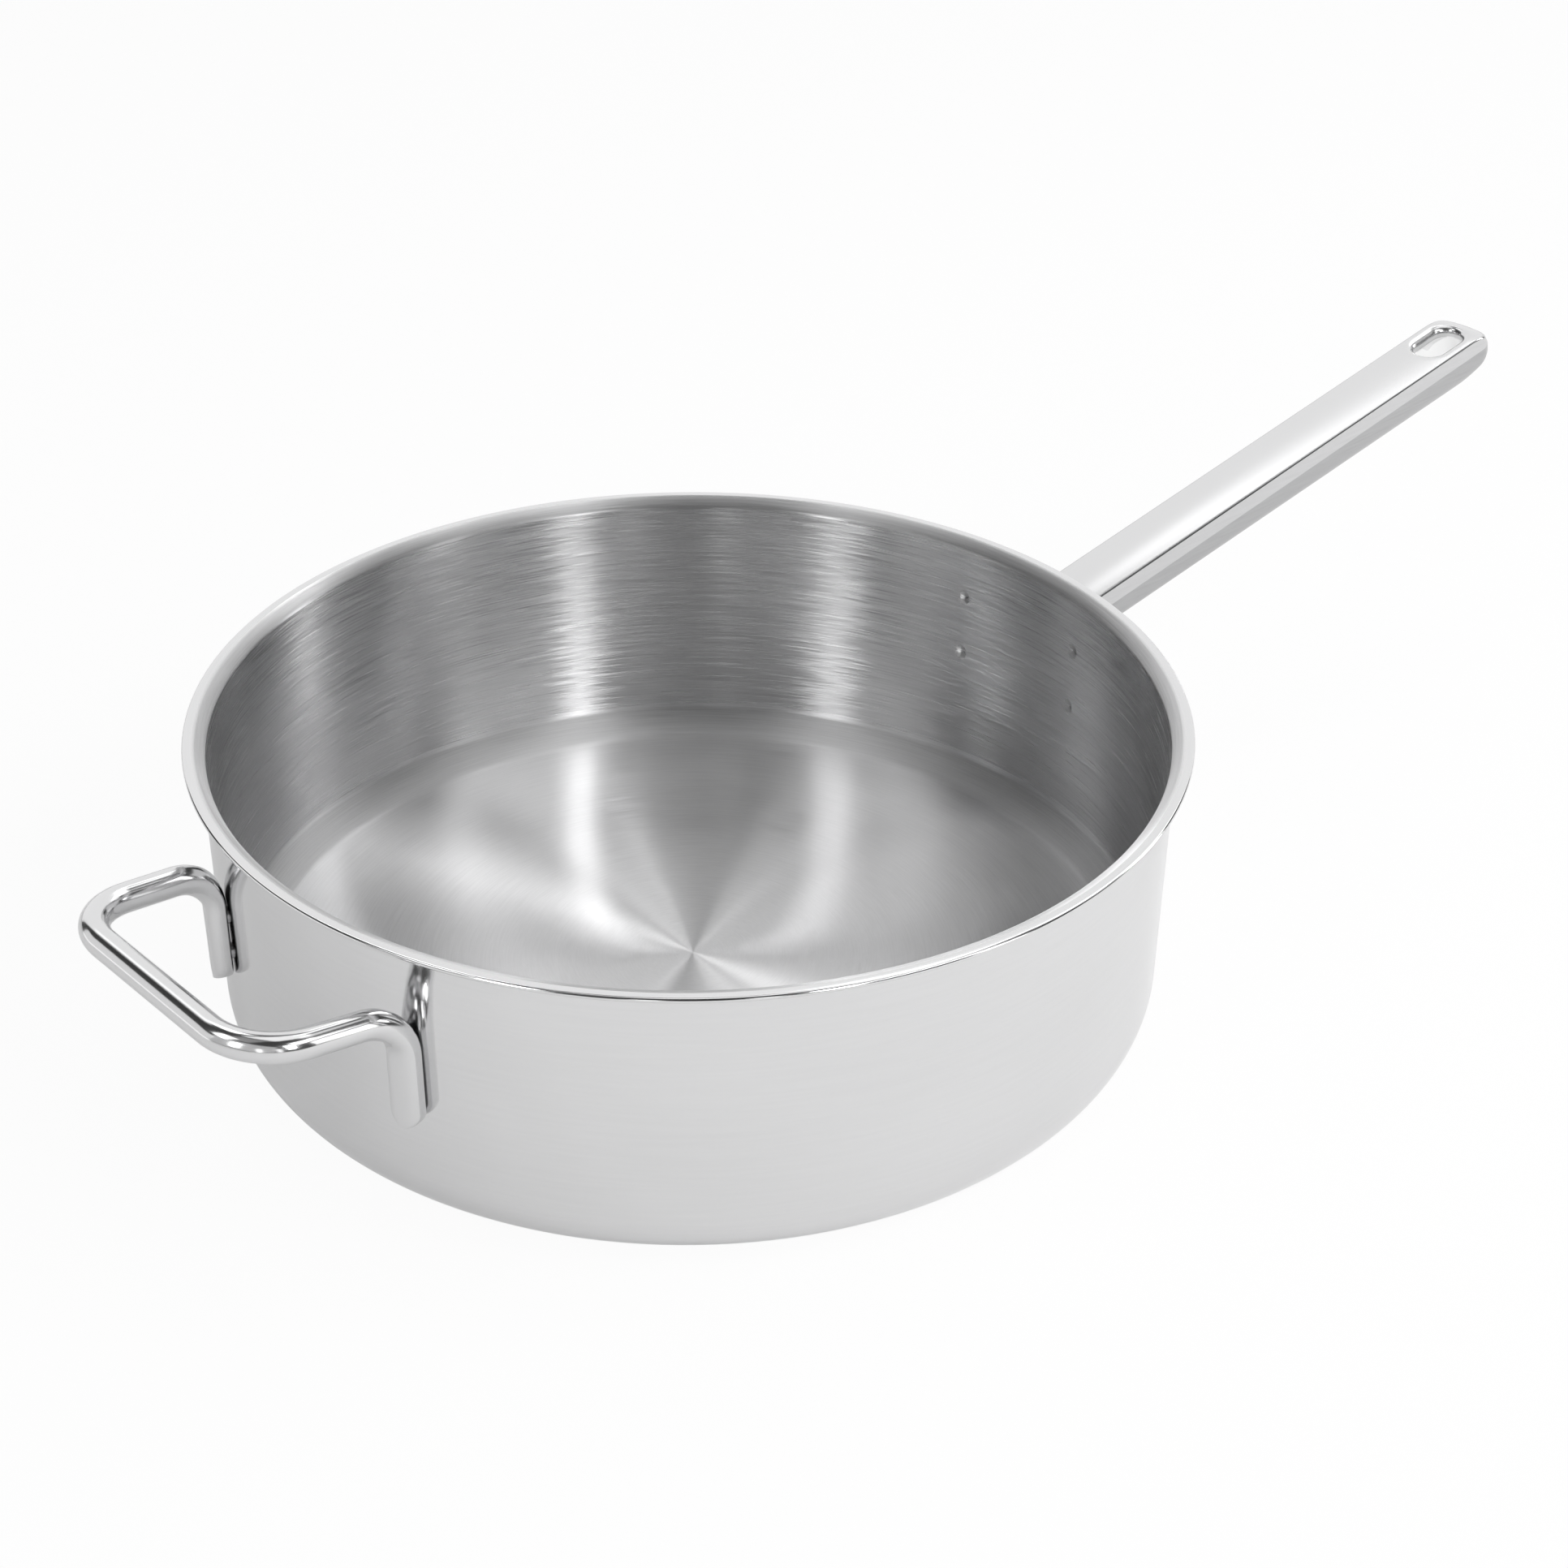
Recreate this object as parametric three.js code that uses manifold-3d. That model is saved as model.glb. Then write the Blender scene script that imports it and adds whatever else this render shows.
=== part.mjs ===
// A 28 cm stainless saute pan with a long hollow handle and a helper handle of bent bar.
// Both handles are spot welded to the wall, so nothing on the pan moves.
// Millimetres, +Z up. The origin is the centre of the underside. The long handle points along +X.

import * as THREE from 'three';
import { mergeVertices } from 'three/addons/utils/BufferGeometryUtils.js';
import Module from 'manifold-3d';

const wasm = await Module();
wasm.setup();

// Gap kept between pieces that touch
const FIT = 0.3;
const RAD = Math.PI / 180;

// Vessel: a wall that leans out slightly, a rounded floor corner and a flared pouring rim
const PAN_INNER_RADIUS = 140;
const PAN_HEIGHT = 93.3;
const WALL = 1.5;
const WALL_DRAFT = 0.8 * RAD;
const FLOOR_SHEET = 1.5;
const FLOOR_FILLET = 10;
const CORNER_RADIUS = 16;
const RIM_BEND = 2.2;
const RIM_FLANGE = 2.8;
const PAN_SEGMENTS = 96;

// Base: an aluminium core and a magnetic cap let into the underside
const CORE_THICKNESS = 3.4;
const CAP_THICKNESS = 1.0;
const FOOT_WIDTH = 3.5;

// Long handle, in its own frame: x along the handle, y across it, z square to its top
const HANDLE_SLOPE = 10.98 * RAD;
const HANDLE_ROOT_HEIGHT = 73.7;
const HANDLE_LENGTH = 233;
const HANDLE_WIDTH = 22;
const HANDLE_DRAFT = 0.5;
const HANDLE_CROWN = 0.8;
const HANDLE_SHOULDER = 0.9;
const SEAM_DROP = 6.3;
const KEEL_DEPTH_ROOT = 9.5;
const KEEL_DEPTH_TIP = 11.5;
const KEEL_POWER = 3.6;
const TIP_ROUND = 8;
const TIP_POWER = 2.45;
const TIP_DROOP = 3.4;
const TIP_DROOP_LENGTH = 13;
const TIP_TURN_UP = 4.6;
const TIP_TURN_UP_LENGTH = 20;
const TIP_BULGE = 2.4;
const SHELL = 1.2;

// Hanging slot: a dish pressed into the upper shell over a well pressed into the lower one
const SLOT_RADIUS = 5.6;
const SLOT_SPAN = 9.4;
const SLOT_SETBACK = 14.3;
const DISH_RADIUS = 9.0;
const DISH_DEPTH = 3.0;
const SLOT_LIP = 1.0;
const WELL_RADIUS = 8.0;

// Bracket: a saddle plate on the wall with a tongue inside the hollow handle
const BRACKET_THICKNESS = 2.0;
const BRACKET_WIDTH = 62;
const BRACKET_HEIGHT = 36;
const BRACKET_CENTRE_HEIGHT = 63.1;
const BRACKET_CORNER = 8;
const TONGUE_LENGTH = 26;

// Helper handle: round bar with flattened feet
const BAR_DIAMETER = 8.5;
const HELPER_PROJECTION = 41.6;
const HELPER_HEIGHT = 78.3;
const HELPER_TILT = 7 * RAD;
const HELPER_HALF_SPAN = 43.6;
const HELPER_CORNER_RADIUS = 18.8;
const HELPER_BEND_RADIUS = 14;
const FOOT_ANGLE = 18.4 * RAD;
const FOOT_BOTTOM = 36.8;
const FOOT_BAR_WIDTH = 9.7;
const FOOT_BAR_THICKNESS = 5.8;
const FOOT_POWER = 3.2;
const TOE_STEPS = 5;
const BEND_STEPS = 9;

// Spot welds
const WELD_DIAMETER = 5;
const WELD_BITE = 0.6;
const WELD_SIDES = 12;
const BRACKET_WELD_ANGLE = 10 * RAD;
const BRACKET_WELD_PITCH = 20.2;
const HELPER_WELD_PITCH = 12;
const HELPER_WELD_LOW = 8;

// Sizes that follow from the driving dimensions
const wallRadius = PAN_INNER_RADIUS + WALL;
const coreTop = CAP_THICKNESS + FIT + CORE_THICKNESS;
const floorUnderside = coreTop + FIT;
const floorTop = floorUnderside + FLOOR_SHEET;
const pocketRadius = wallRadius - CORNER_RADIUS - FOOT_WIDTH;
const helperReach = wallRadius + HELPER_PROJECTION;

// The wall's outer radius at a height above the rounded corner
function wallAt(z) {
  return wallRadius + (z - CORNER_RADIUS) * Math.tan(WALL_DRAFT);
}

// A closed solid from any three.js geometry, with its faces turned outwards
function solid(geometry) {
  const bare = new THREE.BufferGeometry();
  bare.setAttribute('position', geometry.getAttribute('position').clone());
  if (geometry.index) bare.setIndex(geometry.index.clone());
  const merged = mergeVertices(bare, 1e-4);
  const points = merged.getAttribute('position').array;
  const corners = merged.index.array;
  const triangles = [];
  let volume = 0;
  const [a, b, c] = [new THREE.Vector3(), new THREE.Vector3(), new THREE.Vector3()];
  for (let i = 0; i < corners.length; i += 3) {
    const [p, q, r] = [corners[i], corners[i + 1], corners[i + 2]];
    if (p === q || q === r || r === p) continue;
    triangles.push([p, q, r]);
    a.fromArray(points, 3 * p);
    b.fromArray(points, 3 * q);
    c.fromArray(points, 3 * r);
    volume += a.dot(b.cross(c));
  }
  if (volume < 0) triangles.forEach((triangle) => triangle.reverse());
  return new wasm.Manifold(new wasm.Mesh({
    numProp: 3,
    vertProperties: new Float32Array(points),
    triVerts: new Uint32Array(triangles.flat()),
  }));
}

function geometryOf(manifold) {
  const { vertProperties, triVerts, numProp } = manifold.getMesh();
  const geometry = new THREE.BufferGeometry();
  const points = new Float32Array(vertProperties.length / numProp * 3);
  for (let i = 0; i < points.length / 3; i++) {
    points.set(vertProperties.subarray(i * numProp, i * numProp + 3), 3 * i);
  }
  geometry.setAttribute('position', new THREE.BufferAttribute(points, 3));
  geometry.setIndex(Array.from(triVerts));
  geometry.computeVertexNormals();
  return geometry;
}

// A solid of revolution about Z from [radius, height] pairs
function revolve(profile, segments = PAN_SEGMENTS) {
  const points = profile.map(([r, z]) => new THREE.Vector2(r, z));
  return new THREE.LatheGeometry(points, segments).rotateX(Math.PI / 2);
}

function arc(centreR, centreZ, radius, from, to, steps) {
  return Array.from({ length: steps + 1 }, (_, i) => {
    const angle = from + (to - from) * i / steps;
    return [centreR + radius * Math.cos(angle), centreZ + radius * Math.sin(angle)];
  });
}

// A skin over a row of closed rings with equal counts of points, closed by a fan at each end
function loft(rings) {
  const count = rings[0].length;
  const points = rings.flat();
  const first = new THREE.Vector3();
  const last = new THREE.Vector3();
  rings[0].forEach((p) => first.addScaledVector(p, 1 / count));
  rings.at(-1).forEach((p) => last.addScaledVector(p, 1 / count));
  const firstIndex = points.length;
  points.push(first, last);
  const index = [];
  const lastStart = (rings.length - 1) * count;
  for (let j = 0; j < count; j++) {
    const next = (j + 1) % count;
    for (let i = 0; i < rings.length - 1; i++) {
      const [p, q] = [i * count + j, i * count + next];
      index.push(p, q, q + count, p, q + count, p + count);
    }
    index.push(firstIndex, next, j);
    index.push(firstIndex + 1, lastStart + j, lastStart + next);
  }
  const geometry = new THREE.BufferGeometry().setFromPoints(points);
  geometry.setIndex(index);
  return geometry;
}

function steelMesh(name, manifold, color, roughness) {
  const material = new THREE.MeshStandardMaterial({ color, roughness, metalness: 1 });
  const mesh = new THREE.Mesh(geometryOf(manifold), material);
  mesh.name = name;
  return mesh;
}

// The vessel's wall section: floor, fillet, wall and rim inside, then back down the outside
function panProfile() {
  const rimHeight = PAN_HEIGHT - RIM_BEND - WALL;
  const rimCentre = wallAt(rimHeight) + RIM_BEND;
  const lip = WALL / 2;
  const inside = PAN_INNER_RADIUS;
  return [
    [0, floorTop],
    ...arc(inside - FLOOR_FILLET, floorTop + FLOOR_FILLET, FLOOR_FILLET, -Math.PI / 2, 0, 6),
    ...arc(rimCentre, rimHeight, RIM_BEND + WALL, Math.PI, Math.PI / 2, 6),
    ...arc(rimCentre + RIM_FLANGE - lip, PAN_HEIGHT - lip, lip, Math.PI / 2, -Math.PI / 2, 4),
    ...arc(rimCentre, rimHeight, RIM_BEND, Math.PI / 2, Math.PI, 5),
    ...arc(wallRadius - CORNER_RADIUS, CORNER_RADIUS, CORNER_RADIUS, 0, -Math.PI / 2, 7),
    [pocketRadius, 0],
    [pocketRadius, floorUnderside],
    [0, floorUnderside],
  ];
}

// A ring of wall-following section between two offsets from the wall, or a plug when it has no inner one
function wallBand(inner, outer, low, high) {
  const within = (z) => (inner === null ? 0 : wallAt(z) + inner);
  const profile = [
    [within(low), low],
    [wallAt(low) + outer, low],
    [wallAt(high) + outer, high],
    [within(high), high],
  ];
  if (inner !== null) profile.push(profile[0]);
  return revolve(profile, 2 * PAN_SEGMENTS);
}

function disc(radius, low, high) {
  return solid(revolve([[0, low], [radius, low], [radius, high], [0, high]]));
}

// Long handle

const handleFrame = new THREE.Group();
handleFrame.position.set(wallRadius, 0, HANDLE_ROOT_HEIGHT);
handleFrame.rotation.y = -HANDLE_SLOPE;
handleFrame.updateMatrix();
const intoHandle = handleFrame.matrix.clone().invert();

// How far a quantity has gone, as a square law, over the last stretch before the tip
function nearTip(x, stretch) {
  return Math.max(0, (x - HANDLE_LENGTH + stretch) / stretch) ** 2;
}

// One ring of the handle's section at x, drawn in by the inset, with its width scaled at the tip
function handleRing(x, widthScale, inset) {
  const half = HANDLE_WIDTH / 2 - inset;
  const topHalf = half - HANDLE_DRAFT;
  const shoulder = Math.max(HANDLE_SHOULDER - inset, FIT);
  const top = -TIP_DROOP * nearTip(x, TIP_DROOP_LENGTH) - inset;
  const along = THREE.MathUtils.clamp(x / HANDLE_LENGTH, 0, 1);
  const fullKeel = THREE.MathUtils.lerp(KEEL_DEPTH_ROOT, KEEL_DEPTH_TIP, along);
  const keel = fullKeel - TIP_TURN_UP * nearTip(x, TIP_TURN_UP_LENGTH) - inset;
  const crownSteps = 4;
  const keelSteps = 8;
  const side = [];
  for (let i = 0; i < crownSteps; i++) {
    const y = (topHalf - shoulder) * i / crownSteps;
    side.push([y, top - HANDLE_CROWN * (y / topHalf) ** 2]);
  }
  const shoulderTop = top - HANDLE_CROWN * ((topHalf - shoulder) / topHalf) ** 2;
  side.push(...arc(topHalf - shoulder, shoulderTop - shoulder, shoulder, Math.PI / 2, 0, 3));
  for (let i = 0; i <= keelSteps; i++) {
    const angle = Math.PI / 2 * i / keelSteps;
    const y = half * Math.max(0, Math.cos(angle)) ** (2 / KEEL_POWER);
    side.push([i === keelSteps ? 0 : y, -SEAM_DROP - keel * Math.sin(angle) ** (2 / KEEL_POWER)]);
  }
  const mirrored = side.slice(1, -1).reverse().map(([y, z]) => [-y, z]);
  const swell = TIP_BULGE * nearTip(x, TIP_DROOP_LENGTH);
  return [...side, ...mirrored].map(([y, z]) => {
    const rise = (top - z) / (top + SEAM_DROP + keel);
    return new THREE.Vector3(x + swell * (4 * rise * (1 - rise) - 0.5), y * widthScale, z);
  });
}

// The handle's body, or its hollow when it is drawn in, from x = start to the rounded tip or to an end
function handleBody(inset, start, end = null) {
  if (end !== null) return loft([handleRing(start, 1, inset), handleRing(end, 1, inset)]);
  const tipCentre = HANDLE_LENGTH - TIP_ROUND;
  const rings = [handleRing(start, 1, inset), handleRing(HANDLE_LENGTH - TIP_TURN_UP_LENGTH, 1, inset)];
  const tipSteps = 9;
  const lastAngle = 82 * RAD;
  for (let i = 0; i <= tipSteps; i++) {
    const angle = lastAngle * i / tipSteps;
    const x = tipCentre + (TIP_ROUND - inset) * Math.sin(angle) ** (2 / TIP_POWER);
    rings.push(handleRing(x, Math.cos(angle) ** (2 / TIP_POWER), inset));
  }
  return loft(rings);
}

// A round-ended column about the hanging slot, through levels of [radius, z]
function slotColumn(levels) {
  const far = HANDLE_LENGTH - SLOT_SETBACK;
  const near = far - SLOT_SPAN;
  const steps = 10;
  return solid(loft(levels.map(([radius, z]) => {
    const ring = [];
    for (const [centre, from] of [[far, -Math.PI / 2], [near, Math.PI / 2]]) {
      for (let i = 0; i <= steps; i++) {
        const angle = from + Math.PI * i / steps;
        ring.push(new THREE.Vector3(centre + radius * Math.cos(angle), radius * Math.sin(angle), z));
      }
    }
    return ring;
  })));
}

// The rolled edge of the dish, widened by an offset
function dishLevels(offset) {
  const steps = 5;
  return Array.from({ length: steps + 1 }, (_, i) => {
    const angle = Math.PI / 2 * i / steps;
    const radius = SLOT_RADIUS + (DISH_RADIUS - SLOT_RADIUS) * (1 - Math.sin(angle));
    return [radius + offset, -DISH_DEPTH * (1 - Math.cos(angle))];
  });
}

function handleShells() {
  const clear = HANDLE_LENGTH;
  const rootCut = solid(wallBand(null, BRACKET_THICKNESS + 2 * FIT, 0, 2 * PAN_HEIGHT)
    .applyMatrix4(intoHandle));
  const outer = solid(handleBody(0, -SHELL));
  const hollow = solid(handleBody(SHELL, -2 * SHELL));
  const tube = outer.subtract(hollow).subtract(rootCut);
  const lipLow = -DISH_DEPTH - SLOT_LIP;
  const roofTop = lipLow - FIT;
  const roofLow = roofTop - SHELL;
  const halfSpace = (z) => solid(new THREE.BoxGeometry(4 * clear, clear, clear).translate(0, 0, z));

  const collar = slotColumn([...dishLevels(SHELL), [SLOT_RADIUS + SHELL, lipLow]]).intersect(outer);
  const dish = slotColumn([[DISH_RADIUS, clear], ...dishLevels(0), [SLOT_RADIUS, -clear]]);
  const upper = tube.intersect(halfSpace(clear / 2 - SEAM_DROP + FIT / 2)).add(collar).subtract(dish);

  const wellWall = WELL_RADIUS + SHELL;
  const well = slotColumn([[wellWall, roofTop], [wellWall, -clear]]).intersect(outer);
  const wellHollow = slotColumn([[WELL_RADIUS, roofLow], [WELL_RADIUS, -clear]]);
  const slot = slotColumn([[SLOT_RADIUS, clear], [SLOT_RADIUS, -clear]]);
  const lower = tube.intersect(halfSpace(-clear / 2 - SEAM_DROP - FIT / 2))
    .add(well).subtract(wellHollow).subtract(slot);
  return { upper, lower };
}

// Bracket: a rounded saddle on the wall, joined to a tongue that fills the handle's root

function roundedPlate(width, height, corner, depth) {
  const [w, h] = [width / 2, height / 2];
  const shape = new THREE.Shape();
  shape.absarc(w - corner, h - corner, corner, 0, Math.PI / 2);
  shape.absarc(-w + corner, h - corner, corner, Math.PI / 2, Math.PI);
  shape.absarc(-w + corner, -h + corner, corner, Math.PI, 1.5 * Math.PI);
  shape.absarc(w - corner, -h + corner, corner, 1.5 * Math.PI, 2 * Math.PI);
  return new THREE.ExtrudeGeometry(shape, { depth, bevelEnabled: false, curveSegments: 5 });
}

function handleBracket(welds) {
  const low = BRACKET_CENTRE_HEIGHT - BRACKET_HEIGHT;
  const high = BRACKET_CENTRE_HEIGHT + BRACKET_HEIGHT;
  const band = solid(wallBand(FIT, FIT + BRACKET_THICKNESS, low, high));
  const outline = roundedPlate(BRACKET_WIDTH, BRACKET_HEIGHT, BRACKET_CORNER, 2 * wallRadius)
    .rotateX(Math.PI / 2).rotateZ(Math.PI / 2).translate(0, 0, BRACKET_CENTRE_HEIGHT);
  const tongue = solid(handleBody(SHELL + FIT, -SHELL, TONGUE_LENGTH).applyMatrix4(handleFrame.matrix));
  const wall = solid(wallBand(null, FIT, 0, 2 * PAN_HEIGHT));
  const saddle = band.intersect(solid(outline)).add(tongue).subtract(wall);
  return welds.reduce((piece, weld) => piece.subtract(weldPocket(weld)), saddle);
}

// Helper handle

// Points along straight runs joined by round corners
function roundedRoute(corners, radii, steps) {
  const route = [corners[0]];
  for (let i = 1; i < corners.length - 1; i++) {
    const back = corners[i - 1].clone().sub(corners[i]).normalize();
    const on = corners[i + 1].clone().sub(corners[i]).normalize();
    const half = back.angleTo(on) / 2;
    const bisector = back.clone().add(on).normalize();
    const centre = corners[i].clone().addScaledVector(bisector, radii[i] / Math.sin(half));
    const across = on.clone().sub(back).normalize();
    const sweep = Math.PI / 2 - half;
    for (let k = 0; k <= steps; k++) {
      const angle = sweep * (2 * k / steps - 1);
      route.push(centre.clone()
        .addScaledVector(bisector, -radii[i] * Math.cos(angle))
        .addScaledVector(across, radii[i] * Math.sin(angle)));
    }
  }
  route.push(corners.at(-1));
  return route;
}

// Half of the bar's route, from the tip of one foot up, out and along to the middle of the grip
function helperHalfRoute() {
  const footAt = (z) => {
    const radius = wallAt(z) + FIT + FOOT_BAR_THICKNESS / 2;
    return new THREE.Vector3(-radius * Math.cos(FOOT_ANGLE), radius * Math.sin(FOOT_ANGLE), z);
  };
  const elbow = HELPER_HEIGHT - (helperReach + footAt(HELPER_HEIGHT).x) * Math.tan(HELPER_TILT);
  const corners = [
    footAt(FOOT_BOTTOM),
    footAt(elbow),
    new THREE.Vector3(-helperReach, HELPER_HALF_SPAN, HELPER_HEIGHT),
    new THREE.Vector3(-helperReach, 0, HELPER_HEIGHT),
  ];
  const route = roundedRoute(corners, [0, HELPER_BEND_RADIUS, HELPER_CORNER_RADIUS, 0], BEND_STEPS);
  const toe = [];
  for (let i = 1; i <= TOE_STEPS; i++) {
    const rise = FOOT_BAR_WIDTH / 2 * (1 - Math.cos(Math.PI / 2 * i / TOE_STEPS));
    toe.push(footAt(FOOT_BOTTOM + rise));
  }
  return [...toe, ...route.slice(1)];
}

function helperBar() {
  const route = helperHalfRoute();
  const sides = 16;
  const outward = new THREE.Vector3(-Math.cos(FOOT_ANGLE), Math.sin(FOOT_ANGLE), 0);
  const round = BAR_DIAMETER / 2;
  const rings = [];
  let thick = outward.clone();
  route.forEach((point, i) => {
    const ahead = route[Math.min(i + 1, route.length - 1)];
    const tangent = ahead.clone().sub(route[Math.max(i - 1, 0)]).normalize();
    thick = thick.addScaledVector(tangent, -thick.dot(tangent)).normalize();
    const wide = tangent.clone().cross(thick);
    const ease = THREE.MathUtils.smoothstep(i, TOE_STEPS, TOE_STEPS + 0.8 * BEND_STEPS);
    const toe = Math.sin(Math.PI / 2 * Math.min(1, (i + 1) / TOE_STEPS));
    const halfWide = THREE.MathUtils.lerp(FOOT_BAR_WIDTH / 2, round, ease) * toe;
    const halfThick = THREE.MathUtils.lerp(FOOT_BAR_THICKNESS / 2, round, ease);
    const power = 2 / THREE.MathUtils.lerp(FOOT_POWER, 2, ease);
    rings.push(Array.from({ length: sides }, (_, k) => {
      const [c, s] = [Math.cos(2 * Math.PI * k / sides), Math.sin(2 * Math.PI * k / sides)];
      return point.clone()
        .addScaledVector(wide, halfWide * Math.sign(c) * Math.abs(c) ** power)
        .addScaledVector(thick, halfThick * Math.sign(s) * Math.abs(s) ** power);
    }));
  });
  rings.at(-1).forEach((p) => p.setY(0));
  const flip = new THREE.Vector3(1, -1, 1);
  const other = rings.slice(0, -1).reverse().map((ring) => ring.map((p) => p.clone().multiply(flip)));
  return solid(loft([...rings, ...other]));
}

// Spot welds: short nuggets that bite into both pieces, each in a pocket with clearance

function weldBar({ angle, height }, radius, inner, outer) {
  const middle = (inner + outer) / 2;
  return new THREE.CylinderGeometry(radius, radius, outer - inner, WELD_SIDES)
    .rotateZ(Math.PI / 2)
    .translate(middle, 0, 0)
    .rotateZ(angle)
    .translate(0, 0, height);
}

function weldNugget(weld) {
  const wall = wallAt(weld.height);
  return solid(weldBar(weld, WELD_DIAMETER / 2, wall - WELD_BITE, wall + FIT + WELD_BITE));
}

function weldPocket(weld) {
  const wall = wallAt(weld.height);
  const reach = WELD_BITE + FIT;
  return solid(weldBar(weld, WELD_DIAMETER / 2 + FIT, wall - reach, wall + FIT + reach));
}

const bracketWelds = [];
const helperWelds = [];
for (const [side, sign] of [['left', 1], ['right', -1]]) {
  for (const [level, step] of [['upper', 1], ['lower', 0]]) {
    bracketWelds.push({
      name: `weld_bracket_${level}_${side}`,
      angle: sign * BRACKET_WELD_ANGLE,
      height: BRACKET_CENTRE_HEIGHT + (step - 0.5) * BRACKET_WELD_PITCH,
    });
    helperWelds.push({
      name: `weld_helper_${level}_${side}`,
      angle: Math.PI - sign * FOOT_ANGLE,
      height: FOOT_BOTTOM + HELPER_WELD_LOW + step * HELPER_WELD_PITCH,
    });
  }
}
const allWelds = [...bracketWelds, ...helperWelds];

// Assembly

const BRUSHED = 0xc9cacc;
const SATIN = 0xd2d3d5;
const POLISHED = 0xdadbdd;
const ALUMINIUM = 0xb9bbbe;

const pan = new THREE.Group();
const vessel = allWelds.reduce((piece, weld) => piece.subtract(weldPocket(weld)), solid(revolve(panProfile())));
const helper = helperWelds.reduce((piece, weld) => piece.subtract(weldPocket(weld)), helperBar());
const shells = handleShells();
pan.add(steelMesh('pan_body', vessel, BRUSHED, 0.28));
pan.add(steelMesh('base_core', disc(pocketRadius - FIT, CAP_THICKNESS + FIT, coreTop), ALUMINIUM, 0.5));
pan.add(steelMesh('base_cap', disc(pocketRadius - FIT, 0, CAP_THICKNESS), SATIN, 0.35));
pan.add(steelMesh('handle_bracket', handleBracket(bracketWelds), SATIN, 0.3));
pan.add(steelMesh('helper_handle', helper, POLISHED, 0.08));
handleFrame.add(steelMesh('handle_upper_shell', shells.upper, SATIN, 0.25));
handleFrame.add(steelMesh('handle_lower_shell', shells.lower, SATIN, 0.25));
pan.add(handleFrame);
for (const weld of allWelds) pan.add(steelMesh(weld.name, weldNugget(weld), SATIN, 0.4));

export default pan;
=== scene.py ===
"""A stainless saute pan on a pale studio floor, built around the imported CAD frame.

Lengths in the shape code are millimetres in the part's frame; meshes are stored in metres.
"""

import math

import bmesh
import bpy
from mathutils import Matrix, Vector


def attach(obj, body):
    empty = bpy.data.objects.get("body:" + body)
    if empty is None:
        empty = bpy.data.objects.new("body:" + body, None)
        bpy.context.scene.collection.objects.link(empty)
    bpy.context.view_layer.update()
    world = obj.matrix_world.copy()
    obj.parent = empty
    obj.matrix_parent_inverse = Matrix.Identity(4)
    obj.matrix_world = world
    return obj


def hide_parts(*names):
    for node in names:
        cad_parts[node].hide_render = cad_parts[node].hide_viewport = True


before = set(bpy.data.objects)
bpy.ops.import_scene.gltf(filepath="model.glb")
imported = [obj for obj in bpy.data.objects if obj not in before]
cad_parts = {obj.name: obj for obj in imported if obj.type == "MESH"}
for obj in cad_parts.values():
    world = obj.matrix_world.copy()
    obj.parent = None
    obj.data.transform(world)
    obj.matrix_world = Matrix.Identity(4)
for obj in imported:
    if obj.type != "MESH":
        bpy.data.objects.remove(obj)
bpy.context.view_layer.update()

MM = 0.001
RAD = math.pi / 180
QUARTER = math.pi / 2

# Vessel
INNER_RADIUS = 140.0
PAN_HEIGHT = 93.3
WALL = 1.5
WALL_DRAFT = 0.8 * RAD
FLOOR_TOP = 6.5
FLOOR_UNDERSIDE = 5.0
FLOOR_FILLET = 10.0
CORNER_RADIUS = 16.0
RIM_BEND = 2.2
RIM_FLANGE = 2.8
FOOT_WIDTH = 3.5
CAP_THICKNESS = 1.0
CAP_EDGE = 0.3
FIT = 0.3
WALL_RADIUS = INNER_RADIUS + WALL
POCKET_RADIUS = WALL_RADIUS - CORNER_RADIUS - FOOT_WIDTH

# Rows of the turned skins
FLOOR_RINGS = (1.5, 4, 8, 14, 22, 32, 44, 56, 68, 80, 92, 104, 114, 122, 127)
FAN_RADIUS = 60.0
WALL_START = 18.0
BELOW_RIM = 2.0
TOUCHING = 0.01
VESSEL_SIDES = 288
CAP_SIDES = 192

# Weld marks on the inner wall
MARK_ANGLE = 10.0
MARK_HEIGHTS = (53.0, 73.2)
MARK_RADIUS = 1.4
MARK_DEPTH = 0.6
MARK_REACH = 2.4
MARK_TURN = 0.08
MARK_STEPS = 12
MARKED_FROM, MARKED_TO = 40, 85

# Long handle, in its own frame: x along it, y across it, z square to its top
HANDLE_SLOPE = 10.98 * RAD
HANDLE_ROOT_HEIGHT = 73.7
HANDLE_LENGTH = 233.0
HALF_WIDTH = 11.0
HANDLE_DRAFT = 0.5
HANDLE_CROWN = 0.8
SHOULDER = 0.9
SEAM_DROP = 6.3
KEEL_ROOT = 9.5
KEEL_TIP = 11.5
KEEL_POWER = 3.6
KEEL_TURN = 75 * RAD
TIP_ROUND = 8.0
TIP_POWER = 2.45
TIP_DROOP = 3.4
TIP_DROOP_LENGTH = 13.0
TIP_TURN_UP = 4.6
TIP_TURN_UP_LENGTH = 20.0
TIP_BULGE = 2.4
TIP_BULGE_SHIFT = 0.5
SHEET = 0.8
SLOT_RADIUS = 5.6
SLOT_SPAN = 9.4
SLOT_SETBACK = 14.3
SLOT_APPROACH = 14.0
DISH_RADIUS = 9.0
DISH_DEPTH = 3.0
SLOT_LIP = 1.0
WELL_RADIUS = 8.0
WELL_EDGE = 0.3
TIP_CENTRE = HANDLE_LENGTH - TIP_ROUND
SLOT_FAR = HANDLE_LENGTH - SLOT_SETBACK
SLOT_NEAR = SLOT_FAR - SLOT_SPAN
SLOT_REGION = SLOT_NEAR - SLOT_APPROACH

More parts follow.
